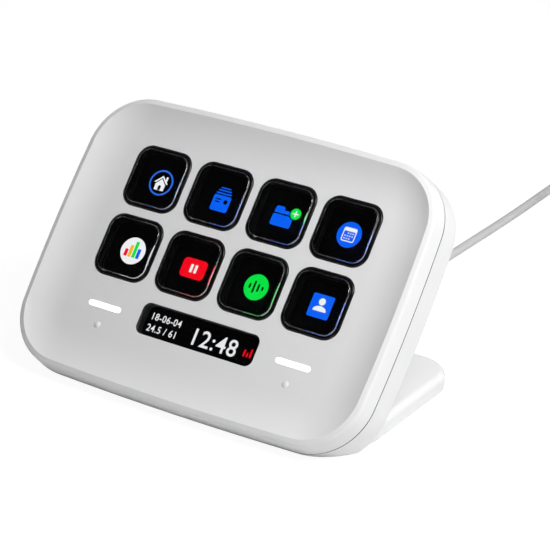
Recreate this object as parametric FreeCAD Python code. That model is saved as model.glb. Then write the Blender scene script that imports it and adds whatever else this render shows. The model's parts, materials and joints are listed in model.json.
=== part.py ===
import FreeCAD, Part
import math
import os

# Desk keypad: eight clear display keys and an info window in a dished face, on a wedge stand, with a
# captive cable. Millimetres. The level frame has X to the right, Y to the back and Z up, with its origin on
# the desk under the middle of the body. Slanted pieces are drawn in the face frame: x to the right, y up
# the face, z out of it, with its origin on the flat of the face at the middle of the key grid.

# Face and outline
face_tilt = 50.0
grid_height = 39.1
body_width = 107.0
top_above_grid = 31.1
bottom_below_grid = 46.9
corner_radius = 16.0
side_bow_radius = 534.0
end_bow_radius = 1125.0
wall_lean = 0.6

# Rim and dish of the front shell
land_width = 1.55
land_drop = 0.45
rim_round = 0.5
dish_radius = 22.0
dish_width = 10.0
dish_margin = 0.5
floor_wall = 1.6
shell_wall = 1.8
wall_blend = 2.0
wall_blend_depth = 1.26
seam_depth = 3.15
seam_gap = 0.25
tongue_thick = 0.75
tongue_length = 1.0
tongue_gap = 0.1

# Rear shell and stand
body_back = 12.75
back_round = 2.0
stand_half_width = 50.0
stand_front = -22.0
stand_back = 31.5
stand_front_radius = 13.0
stand_rear_radius = 9.5
stand_top = 5.0
stand_round = 1.8
stand_wall = 1.4
corner_blend = 1.2
slab_floor = 2.05

# Underside: rubber pad, cover and ballast
pad_proud = 0.4
pad_recess = 0.6
pad_inset = 3.0
pad_front = -20.0
pad_radius = 7.0
pad_gap = 0.15
cover_inset = 1.5
cover_thick = 0.8
cover_front = -6.0
cover_radius = 6.0
tray_inset = 1.2
tray_front = -4.0
tray_radius = 5.0
ballast_thick = 1.4
ballast_gap = 0.8
lead_lane = 2.6
lead_lane_front = -20.0

# Keys
key_pitch_x = 19.58
key_pitch_y = 19.81
key_opening = 17.5
key_corner = 4.24
key_columns = 4
key_rows = 2
cap_gap = 0.25
cap_proud = 0.8
cap_round = 0.7
flange_reach = 0.65
flange_thick = 0.7
flange_gap = 0.3
key_travel = 1.2

# Silicone mat, contact film and display stack
layer_gap = 0.05
mat_rest_gap = 0.05
mat_clear = 0.1
mat_web = 0.5
mat_margin = 2.2
mat_window = 14.6
collar_thick = 0.5
collar_lean = 0.5
collar_corner = 3.0
film_thick = 0.2
film_window = 15.2
film_inset = 0.3
sheet_corner = 2.0
sheet_window_corner = 2.5
lcd_side_room = 10.5
lcd_below_window = 2.225
lcd_above_keys = 3.345
lcd_glass = 0.7
lcd_ledge = 3.0
backlight_thick = 1.5
frame_sheet = 0.3
frame_fit = 0.1
ear_length = 4.6
ear_width = 6.4
ear_below_top = 6.0
ear_above_bottom = 5.0
ear_edge = 1.0

# Info window, light bars and touch points
window_width = 36.3
window_height = 8.67
window_radius = 2.15
window_y = -26.44
window_fit = 0.1
window_sunk = 0.05
insert_flange = 1.3
insert_flange_thick = 0.7
bar_width = 10.4
bar_height = 1.6
bar_x = 29.35
bar_y = -26.6
bar_sunk = 0.15
gasket_wall = 1.2
gasket_gap = 0.05
touch_dot_y = -31.9
touch_dot_radius = 1.0
touch_dot_rise = 0.3
touch_film_thick = 0.15
touch_film_side = 3.45
touch_film_reach = 3.4
touch_film_spare = 0.4
touch_film_clear = 0.3

# Main board and its parts
board_gap = 0.7
board_thick = 1.0
board_side_room = 3.0
board_below_lcd = 4.5
board_top = 6.0
board_corner = 1.5
board_post_side = 4.0
board_post_low = 5.5
board_post_high = 4.5
chip_clear = 0.3
chip_grid = 1.0
socket_from_edge = 10.0
socket_length = 6.5
socket_width = 3.3
socket_height = 3.2
socket_above_edge = 1.75
socket_fit = 0.05
flex_from_edge = 21.0
flex_width = 14.0
flex_thick = 0.2
flex_bend = 1.2
flex_reach = 3.6
flex_drop = 0.2
flex_notch = 1.0
clamp_length = 2.6
clamp_cover = 0.4
clamp_height = 1.2
clamp_margin = 1.5

# Screws, posts and snap hooks
screw_radius = 0.9
screw_fit = 0.05
screw_head_radius = 1.7
screw_head = 0.5
screw_clear = 0.2
head_clear = 0.1
pilot_spare = 0.5
post_radius = 2.2
post_bite = 3.0
post_root = 0.3
blind_floor = 0.6
base_screw_side = 12.0
base_screw_front = 4.0
base_screw_rear = 10.5
base_screw_bite = 0.9
hook_width = 6.0
hook_arm = 1.0
hook_drop = 6.4
hook_root = 0.2
hook_play = 0.1
hook_reach = 0.6
hook_barb = 1.0
rib_reach = 0.85
rib_depth = 1.0
rib_root = 0.3
rib_slope = 0.5
hook_gap = 0.25
hook_top_x = 25.0
hook_side_high = 12.0
hook_side_low = -22.0

# Cable: strain relief, inner lead, cord, coil, tie and plug
cord_radius = 1.275
cord_x = 8.8
cord_height = 2.7
relief_radius = 2.1
relief_tip_radius = 1.7
relief_length = 12.0
relief_grooves = 6
relief_groove_first = 2.0
relief_groove_pitch = 1.55
relief_groove_width = 0.7
relief_groove_depth = 0.22
relief_neck_radius = 1.45
relief_neck_gap = 0.05
relief_collar = 1.0
relief_collar_radius = 1.75
relief_collar_gap = 0.1
lead_radius = 0.6
lead_clear = 0.1
lead_wall_gap = 3.7
lead_side_run = 9.2
lead_socket_run = 6.0
coil_start_x = 10.6
coil_y = 180.0
coil_inner_radius = 8.4
coil_pitch = 3.0
coil_rise = 3.0
coil_steps = 8
tie_width = 6.0
tie_thick = 0.8
tie_gap = 0.2
tie_radius = 2.5
plug_length = 20.0
plug_width = 11.4
plug_thick = 6.2
plug_round = 1.6
plug_tail = 7.0
plug_tail_radius = 2.2
plug_tail_wall = 0.25
plug_side_flat = 0.01
plug_tip_width = 8.34
plug_tip_thick = 2.56
plug_tip_length = 6.65
plug_tip_wall = 0.3
plug_mouth_floor = 1.0
plug_tongue_half = 3.2
plug_tongue_thick = 0.7
plug_tongue_inset = 1.05
plug_tongue_root = 0.9

# Places that follow from the sizes above
body_height = top_above_grid + bottom_below_grid
outline_y = (top_above_grid - bottom_below_grid) / 2
dish_edge = land_width + dish_width
dish_rise = dish_radius - math.sqrt(dish_radius ** 2 - dish_width ** 2)
rim_z = dish_rise - land_drop
front_end = -seam_depth + seam_gap / 2
rear_end = -seam_depth - seam_gap / 2
back_inner = shell_wall - body_back
flange_top = -floor_wall - flange_gap
flange_bottom = flange_top - flange_thick
mat_top = flange_bottom - key_travel - mat_clear
mat_bottom = mat_top - mat_web
film_top = mat_bottom - layer_gap
lcd_front = film_top - film_thick - layer_gap
lcd_back = lcd_front - 2 * lcd_glass
backlight_front = lcd_back - layer_gap
frame_front = backlight_front - backlight_thick - layer_gap
frame_back = frame_front - frame_sheet
board_front = frame_back - board_gap
board_back = board_front - board_thick
window_back = -floor_wall - layer_gap - insert_flange_thick
cap_size = key_opening - 2 * cap_gap
cap_corner = key_corner - cap_gap
plastic_bottom = pad_proud
pad_top = plastic_bottom + pad_recess
cover_bottom = pad_top + layer_gap
cover_top = cover_bottom + cover_thick
tray_top = stand_top - stand_wall
lead_level = slab_floor + lead_radius + lead_clear
stand_rear_wall = pad_inset + cover_inset + tray_inset
lcd_half_width = body_width / 2 - lcd_side_room
lcd_bottom = window_y - window_height / 2 - lcd_below_window
lcd_top = (key_rows - 1) / 2 * key_pitch_y + key_opening / 2 + lcd_above_keys
ear_y_top = lcd_top - ear_below_top
ear_y_bottom = lcd_bottom + ear_above_bottom
flex_x = -lcd_half_width + flex_from_edge
board_half_width = lcd_half_width - board_side_room
board_bottom = lcd_bottom - board_below_lcd
board_post_x = board_half_width - board_post_side
board_post_bottom = board_bottom + board_post_low
board_post_top = board_top - board_post_high
socket_x = board_half_width - socket_from_edge
socket_y = board_bottom + socket_above_edge
touch_film_half_width = bar_x + bar_width / 2 + touch_film_side
base_screw_x = stand_half_width - base_screw_side
base_screw_back = stand_back - base_screw_rear
bar_places = [-bar_x, bar_x]
post_places = [(sx * (lcd_half_width + ear_length - ear_edge), y) for sx in (-1, 1)
               for y in (ear_y_bottom, ear_y_top)]
board_posts = [(sx * board_post_x, y) for sx in (-1, 1) for y in (board_post_bottom, board_post_top)]
base_screws = [(sx * base_screw_x, y) for sx in (-1, 1) for y in (base_screw_front, base_screw_back)]
key_places = [((c - (key_columns - 1) / 2) * key_pitch_x, ((key_rows - 1) / 2 - r) * key_pitch_y)
              for r in range(key_rows) for c in range(key_columns)]


def V(x, y, z):
    return FreeCAD.Vector(x, y, z)


# Frames

def level(shape):
    """Turn a shape from the face frame to the level frame."""
    shape = shape.copy()
    shape.rotate(V(0, 0, 0), V(1, 0, 0), face_tilt)
    shape.translate(V(0, 0, grid_height))
    return shape


def level_point(x, y, z):
    """Level-frame place of a point of the face frame."""
    t = math.radians(face_tilt)
    return V(x, y * math.cos(t) - z * math.sin(t), grid_height + y * math.sin(t) + z * math.cos(t))


# Outlines

def arc(cx, cy, radius, start, end, z):
    """Arc about (cx, cy) between two angles in degrees."""
    at = [math.radians(a) for a in (start, (start + end) / 2, end)]
    p = [V(cx + radius * math.cos(a), cy + radius * math.sin(a), z) for a in at]
    return Part.Arc(*p).toShape()


def body_wire(offset, z):
    """The body's outline, four bowed sides and four corners tangent to them, moved out by offset."""
    a = body_width / 2
    b = body_height / 2
    side_x = a - side_bow_radius
    end_y = b - end_bow_radius
    to_side = side_bow_radius - corner_radius
    to_end = end_bow_radius - corner_radius
    gap = math.hypot(side_x, end_y)
    along = (to_side ** 2 - to_end ** 2 + gap ** 2) / (2 * gap)
    across = math.sqrt(to_side ** 2 - along ** 2)
    ux, uy = -side_x / gap, end_y / gap
    cx = side_x + along * ux - across * uy
    cy = along * uy + across * ux
    first = math.degrees(math.atan2(cy, cx - side_x))
    last = math.degrees(math.atan2(cy - end_y, cx))
    r = corner_radius + offset
    rs = side_bow_radius + offset
    re = end_bow_radius + offset
    y = outline_y
    edges = [
        arc(side_x, y, rs, 0, first, z),
        arc(cx, y + cy, r, first, last, z),
        arc(0, y + end_y, re, last, 180 - last, z),
        arc(-cx, y + cy, r, 180 - last, 180 - first, z),
        arc(-side_x, y, rs, 180 - first, 180 + first, z),
        arc(-cx, y - cy, r, 180 + first, 180 + last, z),
        arc(0, y - end_y, re, 180 + last, 360 - last, z),
        arc(cx, y - cy, r, 360 - last, 360 - first, z),
        arc(side_x, y, rs, -first, 0, z),
    ]
    return Part.Wire(edges)


def round_wire(x0, y0, x1, y1, radii, z):
    """Rectangle with one radius per corner, from the low corner round to the left."""
    r = [min(q, (x1 - x0) / 2, (y1 - y0) / 2) for q in radii]
    corners = [(x1, y0, -90, r[0]), (x1, y1, 0, r[1]), (x0, y1, 90, r[2]), (x0, y0, 180, r[3])]
    inward = {-90: (-1, 1), 0: (-1, -1), 90: (1, -1), 180: (1, 1)}
    edges = []
    ends = []
    for x, y, start, q in corners:
        sx, sy = inward[start]
        edges.append(arc(x + sx * q, y + sy * q, q, start, start + 90, z))
        ends.append((edges[-1].Vertexes[0].Point, edges[-1].Vertexes[-1].Point))
    sides = []
    for i in range(4):
        p = ends[i][1]
        n = ends[(i + 1) % 4][0]
        if p.distanceToPoint(n) > 1e-6:
            sides.append(Part.LineSegment(p, n).toShape())
    return Part.Wire(Part.__sortEdges__(edges + sides))


def plate(wire, depth):
    """Solid from a flat wire, extruded by depth along Z."""
    return Part.Face(wire).extrude(V(0, 0, depth))


def pad(w, h, radius, x, y, z0, z1):
    """Rounded rectangle w by h about (x, y), from z0 up to z1."""
    wire = round_wire(x - w / 2, y - h / 2, x + w / 2, y + h / 2, [radius] * 4, z0)
    return plate(wire, z1 - z0)


def box(x0, x1, y0, y1, z0, z1):
    return Part.makeBox(x1 - x0, y1 - y0, z1 - z0, V(x0, y0, z0))


def rod(radius, x, y, z0, z1):
    return Part.makeCylinder(radius, z1 - z0, V(x, y, z0), V(0, 0, 1))


def rod_along_y(radius, x, y0, y1, z):
    return Part.makeCylinder(radius, y1 - y0, V(x, y0, z), V(0, 1, 0))


def closed_path(points):
    return Part.makePolygon(points + points[:1])


# Shells

def shell_section():
    """Section of the front shell from its rim to the flat, in the plane y = outline_y."""
    def at(d, z):
        return V(body_width / 2 - d, outline_y, z)

    def on_dish(radius, d):
        return at(d, dish_radius - math.sqrt(radius ** 2 - (dish_edge - d) ** 2))

    under = dish_radius + floor_wall
    inner = shell_wall - wall_lean
    foot = at(-wall_lean, front_end)
    edge = at(0, rim_z)
    crest = at(land_width, dish_rise)
    up = (edge - foot).normalize()
    over = (crest - edge).normalize()
    low = edge - up * rim_round
    far = edge + over * rim_round
    inward = (low + far - edge * 2).normalize()
    half = inward.getAngle(low - edge)
    turn = edge + inward * (rim_round * math.tan(half) * (1 / math.sin(half) - 1))
    under_end = inner + wall_blend
    tongue_out = inner - tongue_thick
    tip = front_end - tongue_length
    outer_mid = on_dish(dish_radius, (land_width + dish_edge) / 2)
    under_mid = on_dish(under, (under_end + dish_edge) / 2)
    lines = [
        Part.LineSegment(foot, low),
        Part.Arc(low, turn, far),
        Part.LineSegment(far, crest),
        Part.Arc(crest, outer_mid, at(dish_edge, 0)),
        Part.LineSegment(at(dish_edge, 0), at(dish_edge + dish_margin, 0)),
        Part.LineSegment(at(dish_edge + dish_margin, 0), at(dish_edge + dish_margin, -floor_wall)),
        Part.LineSegment(at(dish_edge + dish_margin, -floor_wall), at(dish_edge, -floor_wall)),
        Part.Arc(at(dish_edge, -floor_wall), under_mid, on_dish(under, under_end)),
        Part.LineSegment(on_dish(under, under_end), at(inner, -wall_blend_depth)),
        Part.LineSegment(at(inner, -wall_blend_depth), at(inner, tip)),
        Part.LineSegment(at(inner, tip), at(tongue_out, tip)),
        Part.LineSegment(at(tongue_out, tip), at(tongue_out, front_end)),
        Part.LineSegment(at(tongue_out, front_end), foot),
    ]
    return Part.Wire([s.toShape() for s in lines])


def hook_solid(points, place, direction):
    """Extrude a hook's or rib's section along a side. Points are (depth inwards, z)."""
    half = hook_width / 2
    x, y = place
    if direction == "top":
        wire = closed_path([V(x - half, y - d, z) for d, z in points])
        return Part.Face(wire).extrude(V(hook_width, 0, 0))
    s = 1 if direction == "right" else -1
    wire = closed_path([V(x - s * d, y - half, z) for d, z in points])
    return Part.Face(wire).extrude(V(0, hook_width, 0))


def hook_places():
    """Where the snap hooks stand: on the rim's outline, with the side that they face."""
    top = [((s * hook_top_x, top_above_grid - hook_top_x ** 2 / (2 * end_bow_radius)), "top")
           for s in (-1, 1)]
    sides = []
    for s, name in ((1, "right"), (-1, "left")):
        for y in (hook_side_high, hook_side_low):
            bow = (y - outline_y) ** 2 / (2 * side_bow_radius)
            sides.append(((s * (body_width / 2 - bow), y), name))
    return top + sides


def snap_hook(place, direction):
    """Arm with a barb that catches behind the rear shell's rib."""
    inner = shell_wall - wall_lean
    near = inner + rib_reach + hook_gap
    far = near + hook_arm
    barb = near - hook_reach
    end = -hook_drop
    points = [(near, hook_root), (far, hook_root), (far, end), (near, end), (barb, end + hook_barb / 2),
              (barb, end + hook_barb), (near, end + hook_barb)]
    return hook_solid(points, place, direction)


def snap_rib(place, direction):
    """Rib inside the rear shell's wall, with a sloped top that the barb rides over."""
    inner = shell_wall - wall_lean
    out = inner - rib_root
    low = -hook_drop + hook_barb + hook_play
    top = low + rib_depth
    points = [(out, low), (inner + rib_reach, low), (inner + rib_reach, top - rib_slope), (out, top)]
    return hook_solid(points, place, direction)


def make_front_shell():
    ring = body_wire(0, 0).makePipeShell([shell_section()], True, False)
    flat = plate(body_wire(-dish_edge - dish_margin, -floor_wall), floor_wall)
    shell = ring.fuse(flat)
    posts = [rod(post_radius, x, y, frame_front + layer_gap, -floor_wall / 2) for x, y in post_places]
    hooks = [snap_hook(place, side) for place, side in hook_places()]
    shell = shell.fuse(posts + hooks)
    cuts = [pad(key_opening, key_opening, key_corner, x, y, -3 * floor_wall, dish_rise)
            for x, y in key_places]
    cuts.append(pad(window_width, window_height, window_radius, 0, window_y, -3 * floor_wall, dish_rise))
    cuts += [pad(bar_width, bar_height, bar_height / 2, x, bar_y, -3 * floor_wall, dish_rise)
             for x in bar_places]
    cuts += [rod(screw_radius + screw_fit, x, y, frame_front, frame_front + post_bite + pilot_spare)
             for x, y in post_places]
    shell = shell.cut(cuts)
    ball = (touch_dot_radius ** 2 + touch_dot_rise ** 2) / (2 * touch_dot_rise)
    for x in bar_places:
        dot = Part.makeSphere(ball, V(x, touch_dot_y, touch_dot_rise - ball))
        dot = dot.common(rod(2 * touch_dot_radius, x, touch_dot_y, -floor_wall / 2, 2 * touch_dot_rise))
        shell = shell.fuse(dot)
    shell = level(shell.removeSplitter())
    keep_out = box(-body_width, body_width, -body_height, 0, -body_height, slab_floor + tongue_gap)
    keep_out = keep_out.common(level(box(-body_width, body_width, -body_height, body_height,
                                         -body_back, front_end)))
    return shell.cut(keep_out)


def stand_wire(inset, front, radius, z):
    """Plan of the stand, moved in by inset, with its front edge at the given place."""
    rear = stand_rear_radius - inset
    return round_wire(-stand_half_width + inset, front, stand_half_width - inset, stand_back - inset,
                      [radius, rear, rear, radius], z)


def make_rear_shell():
    tub = plate(body_wire(wall_lean, -body_back), body_back + rear_end)
    rim = [e for e in tub.Edges if abs(e.BoundBox.ZMin + body_back) < 1e-4
           and abs(e.BoundBox.ZMax + body_back) < 1e-4]
    tub = tub.makeFillet(back_round, rim)
    tub = level(tub)
    tub = tub.cut(box(-body_width, body_width, -body_height, body_height, -body_height, plastic_bottom))
    foot = plate(stand_wire(0, stand_front, stand_front_radius, plastic_bottom), stand_top - plastic_bottom)
    rim = [e for e in foot.Edges if abs(e.BoundBox.ZMin - stand_top) < 1e-4
           and abs(e.BoundBox.ZMax - stand_top) < 1e-4]
    foot = foot.makeFillet(stand_round, rim)
    shell = tub.fuse(foot).removeSplitter()
    crease = [e for e in shell.Edges if is_crease(e)]
    shell = shell.makeFillet(corner_blend, crease)

    over = box(-body_width, body_width, -body_height, body_height, slab_floor, 2 * body_height)
    hollow = plate(body_wire(wall_lean - shell_wall, back_inner), rear_end - back_inner + seam_depth)
    rebate_wire = body_wire(wall_lean - shell_wall + tongue_thick + tongue_gap,
                            front_end - tongue_length - tongue_gap)
    rebate = plate(rebate_wire, tongue_length + tongue_gap + seam_gap + seam_depth)
    shell = shell.cut(level(hollow.fuse(rebate)).common(over))
    shell = shell.cut(underside_cuts())
    posts = [rod(post_radius, x, y, back_inner - post_root, board_back - layer_gap) for x, y in board_posts]
    ribs = [snap_rib(place, side) for place, side in hook_places()]
    shell = shell.fuse([level(s) for s in posts + ribs] + base_posts())
    holes = [level(rod(screw_radius + screw_fit, x, y, -body_back + blind_floor, board_back))
             for x, y in board_posts]
    holes += [rod(screw_radius + screw_fit, x, y, cover_top, tray_top + base_screw_bite)
              for x, y in base_screws]
    return shell.cut(holes).removeSplitter()


def is_crease(edge):
    """The straight edge where the stand's top meets the back of the slab."""
    b = edge.BoundBox
    t = math.radians(face_tilt)
    up = (stand_top - grid_height + body_back * math.cos(t)) / math.sin(t)
    at = level_point(0, up, -body_back)
    return (b.XLength > stand_half_width and abs(b.Center.z - stand_top) < 0.01
            and abs(b.Center.y - at.y) < 0.01 and b.YLength < 0.01)


def underside_cuts():
    """Recess for the rubber pad, seat for the cover, tray for the ballast, and the cable's two ports."""
    pad_seat = plate(stand_wire(pad_inset, pad_front, pad_radius, 0), pad_top)
    cover_seat = plate(stand_wire(pad_inset + cover_inset, cover_front, cover_radius, 0),
                       cover_top + layer_gap)
    tray = plate(stand_wire(stand_rear_wall, tray_front, tray_radius, 0), tray_top)
    port = box(cord_x - lead_lane / 2, cord_x + lead_lane / 2, lead_lane_front, tray_front + tray_radius,
               cover_top + layer_gap, tray_top)
    inside = stand_back - stand_rear_wall
    neck = rod_along_y(relief_neck_radius + relief_neck_gap, cord_x, inside, 2 * stand_back, cord_height)
    collar = rod_along_y(relief_collar_radius + relief_collar_gap, cord_x,
                         inside - relief_collar - relief_collar_gap, inside, cord_height)
    return [pad_seat, cover_seat, tray, port, neck, collar]


def base_posts():
    return [rod(post_radius, x, y, cover_top + layer_gap, tray_top + post_root) for x, y in base_screws]


def make_base_cover():
    inset = pad_inset + cover_inset + pad_gap
    cover = plate(stand_wire(inset, cover_front + pad_gap, cover_radius, cover_bottom), cover_thick)
    holes = []
    for x, y in base_screws:
        holes.append(rod(screw_radius + screw_clear, x, y, 0, 2 * cover_top))
        holes.append(rod(screw_head_radius + head_clear, x, y, 0, cover_bottom + screw_head))
    return cover.cut(holes)


def make_base_pad():
    return plate(stand_wire(pad_inset + pad_gap, pad_front + pad_gap, pad_radius, 0), pad_top - layer_gap)


def make_ballast(side):
    """Steel plate in the tray, on one side of the cable's lane, cut clear of the screw posts."""
    inset = stand_rear_wall + ballast_gap
    z = cover_top + layer_gap
    whole = plate(stand_wire(inset, tray_front + ballast_gap, tray_radius, z), ballast_thick)
    edge = cord_x + side * (lead_lane / 2 + ballast_gap)
    far = side * 2 * stand_half_width
    keep = box(min(edge, far), max(edge, far), -body_height, body_height, 0, stand_top)
    posts = [rod(post_radius + ballast_gap / 2, x, y, 0, stand_top) for x, y in base_screws]
    return whole.common(keep).cut(posts)


# Keys

def make_key_cap(x, y):
    """Clear cap: a rounded block with a soft top edge, and a flange that holds it behind the face."""
    block = pad(cap_size, cap_size, cap_corner, x, y, flange_bottom, cap_proud)
    top = [e for e in block.Edges if abs(e.BoundBox.ZMin - cap_proud) < 1e-4
           and abs(e.BoundBox.ZMax - cap_proud) < 1e-4]
    block = block.makeFillet(cap_round, top)
    flange_size = cap_size + 2 * flange_reach
    flange = pad(flange_size, flange_size, cap_corner + flange_reach, x, y, flange_bottom, flange_top)
    return level(block.fuse(flange).removeSplitter())


def grid_plate(reach, z0, z1, window):
    """Sheet behind all keys, with a square window under each."""
    w = (key_columns - 1) * key_pitch_x + cap_size + 2 * reach
    h = (key_rows - 1) * key_pitch_y + cap_size + 2 * reach
    sheet = pad(w, h, sheet_corner, 0, 0, z0, z1)
    return sheet.cut([pad(window, window, sheet_window_corner, x, y, z0, z1) for x, y in key_places])


def make_key_mat():
    """Silicone mat with a leaning collar round each window, which carries the cap and buckles."""
    mat = grid_plate(mat_margin, mat_bottom, mat_top, mat_window)
    base = mat_window + 2 * (collar_thick + collar_lean)
    head = mat_window + 2 * collar_thick
    top = flange_bottom - mat_rest_gap
    low = mat_top - mat_web / 2

    def frustum(shrink, z0, z1):
        wires = []
        for size, z in ((base, z0), (head, z1)):
            half = size / 2 - shrink
            wires.append(round_wire(-half, -half, half, half, [collar_corner - shrink] * 4, z))
        return Part.makeLoft(wires, True, True)

    collar = frustum(0, low, top).cut(frustum(collar_thick, low, top))
    collars = []
    for x, y in key_places:
        c = collar.copy()
        c.translate(V(x, y, 0))
        collars.append(c)
    return level(mat.fuse(collars).removeSplitter())


def make_contact_film():
    return level(grid_plate(mat_margin - film_inset, film_top - film_thick, film_top, film_window))


# Display

def make_lcd_cell():
    """Two glasses, the rear one longer at the bottom for the connection ledge."""
    front = box(-lcd_half_width, lcd_half_width, lcd_bottom + lcd_ledge, lcd_top,
                lcd_front - lcd_glass, lcd_front)
    rear = box(-lcd_half_width, lcd_half_width, lcd_bottom, lcd_top, lcd_back, lcd_front - lcd_glass)
    return level(front.fuse(rear).removeSplitter())


def make_backlight():
    return level(box(-lcd_half_width, lcd_half_width, lcd_bottom, lcd_top,
                     backlight_front - backlight_thick, backlight_front))


def make_display_frame():
    """Steel tray round the display, with four screwed ears and a notch for the ribbon."""
    half = lcd_half_width + frame_fit
    y0 = lcd_bottom - frame_fit
    y1 = lcd_top + frame_fit
    s = frame_sheet
    tray = box(-half - s, half + s, y0 - s, y1 + s, frame_back, lcd_front - lcd_glass)
    tray = tray.cut(box(-half, half, y0, y1, frame_front, lcd_front))
    reach = half + s + ear_length
    ears = [box(-reach, reach, y - ear_width / 2, y + ear_width / 2, frame_back, frame_front)
            for y in (ear_y_bottom, ear_y_top)]
    wide = flex_width / 2 + flex_notch
    notch = box(flex_x - wide, flex_x + wide, y0 - 2 * s, y0 + s, frame_front, lcd_front)
    holes = [rod(screw_radius + screw_clear, x, y, frame_back, frame_front) for x, y in post_places]
    return level(tray.fuse(ears).cut([notch] + holes).removeSplitter())


def ribbon_place():
    """Height of the ribbon at the glass, and again at the board after its half turn."""
    start = lcd_back + flex_thick / 2 + flex_drop
    return start, start - 2 * flex_bend


def make_display_flex():
    """Ribbon from the glass ledge, turned back under itself into the board's clamp."""
    z0, z1 = ribbon_place()
    bend_y = lcd_bottom - flex_reach
    end_y = clamp_edge() - layer_gap
    x0 = flex_x - flex_width / 2
    start_y = lcd_bottom - layer_gap

    def line(offset):
        r = flex_bend + offset
        mid = V(x0, bend_y - r, (z0 + z1) / 2)
        return [
            Part.LineSegment(V(x0, start_y, z0 + offset), V(x0, bend_y, z0 + offset)).toShape(),
            Part.Arc(V(x0, bend_y, z0 + offset), mid, V(x0, bend_y, z1 - offset)).toShape(),
            Part.LineSegment(V(x0, bend_y, z1 - offset), V(x0, end_y, z1 - offset)).toShape(),
        ]

    h = flex_thick / 2
    caps = [
        Part.LineSegment(V(x0, end_y, z1 - h), V(x0, end_y, z1 + h)).toShape(),
        Part.LineSegment(V(x0, start_y, z0 - h), V(x0, start_y, z0 + h)).toShape(),
    ]
    wire = Part.Wire(Part.__sortEdges__(line(h) + line(-h) + caps))
    return level(Part.Face(wire).extrude(V(flex_width, 0, 0)))


def clamp_edge():
    """The mouth of the ribbon clamp, which looks down the face."""
    return lcd_bottom - flex_reach + clamp_cover


def make_flex_clamp():
    y = clamp_edge()
    half = flex_width / 2 + clamp_margin
    return level(box(flex_x - half, flex_x + half, y, y + clamp_length, board_front,
                     board_front + clamp_height))


# Info window, light bars and touch film

def face_insert(w, h, radius, x, y, sunk, back):
    """Insert that fills a cut-out of the face from behind and is glued by its flange."""
    fit = window_fit
    body = pad(w - 2 * fit, h - 2 * fit, radius - fit, x, y, back, -sunk)
    grown = 2 * insert_flange
    flange = pad(w + grown, h + grown, radius + insert_flange, x, y, back, -floor_wall - layer_gap)
    return level(body.fuse(flange).removeSplitter())


def gasket(w, h, radius, x, y, top):
    """Black foam frame between an insert and the display."""
    grown = 2 * insert_flange
    outer = pad(w + grown, h + grown, radius + insert_flange, x, y, lcd_front + gasket_gap, top)
    grown -= 2 * gasket_wall
    inner = pad(w + grown, h + grown, radius + grown / 2, x, y, lcd_front, top)
    return level(outer.cut(inner))


def make_touch_film():
    """Sensor film glued behind the face round the info window and the light bars."""
    z1 = -floor_wall - layer_gap
    z0 = z1 - touch_film_thick
    y0 = window_y - window_height / 2 - touch_film_reach
    y1 = window_y + window_height / 2 + insert_flange + touch_film_spare
    film = box(-touch_film_half_width, touch_film_half_width, y0, y1, z0, z1)
    spare = 2 * (insert_flange + touch_film_clear)
    cuts = [pad(window_width + spare, window_height + spare, window_radius + spare / 2, 0, window_y, z0, z1)]
    cuts += [pad(bar_width + spare, bar_height + spare, (bar_height + spare) / 2, x, bar_y, z0, z1)
             for x in bar_places]
    cuts += [box(-window_width / 2, window_width / 2, window_y, y1, z0, z1)]
    return level(film.cut(cuts))


# Board

def make_main_board():
    board = pad(2 * board_half_width, board_top - board_bottom, board_corner, 0,
                (board_top + board_bottom) / 2, board_back, board_front)
    holes = [rod(screw_radius + screw_clear, x, y, board_back, board_front) for x, y in board_posts]
    return level(board.cut(holes))


def make_board_chips():
    """Chips on the back of the board: controller, memory, power stage, coil, touch controller and clock.

    Each has its place and size in steps of the layout grid, and its share of the free height."""
    z = board_back
    tall = board_back - back_inner - chip_clear
    middle = (board_top + board_bottom) / 2
    layout = [(-8, 4, 9, 9, 0.9), (6, 4, 6, 5, 0.8), (24, -10, 4, 4, 0.7), (30, -4, 4, 4, 1.0),
              (-26, -8, 4, 4, 0.7), (-8, -6, 3, 3, 0.8)]
    chips = []
    for column, row, w, h, part in layout:
        x = column * chip_grid
        y = middle + row * chip_grid
        half_w = w * chip_grid / 2
        half_h = h * chip_grid / 2
        chips.append(box(x - half_w, x + half_w, y - half_h, y + half_h, z - tall * part, z))
    return level(Part.makeCompound(chips))


def make_lead_socket():
    """White socket for the cable's inner lead, with its mouth to the left."""
    s = box(socket_x, socket_x + socket_length, socket_y - socket_width / 2, socket_y + socket_width / 2,
            board_front, board_front + socket_height)
    mouth = Part.makeCylinder(lead_radius + socket_fit, socket_length / 2,
                              V(socket_x, socket_y, board_front + socket_height / 2), V(1, 0, 0))
    return level(s.cut(mouth))


# Screws: each group is one kind of screw

def screw(x, y, head_bottom, head, length):
    """Pan screw that points up: its head stands on head_bottom, its shank above it."""
    shank = rod(screw_radius, x, y, head_bottom, head_bottom + head + length)
    return rod(screw_head_radius, x, y, head_bottom, head_bottom + head).fuse(shank).removeSplitter()


def make_display_screws():
    length = post_bite + frame_sheet
    return level(Part.makeCompound([screw(x, y, frame_back - screw_head, screw_head, length)
                                    for x, y in post_places]))


def make_board_screws():
    screws = []
    for x, y in board_posts:
        s = screw(x, y, 0, screw_head, board_front + body_back - blind_floor - screw_clear)
        s.rotate(V(x, y, 0), V(1, 0, 0), 180)
        s.translate(V(0, 0, board_front + screw_head))
        screws.append(s)
    return level(Part.makeCompound(screws))


def make_base_screws():
    length = tray_top + base_screw_bite - head_clear - cover_bottom - screw_head
    return Part.makeCompound([screw(x, y, cover_bottom, screw_head, length) for x, y in base_screws])


# Cable

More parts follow.
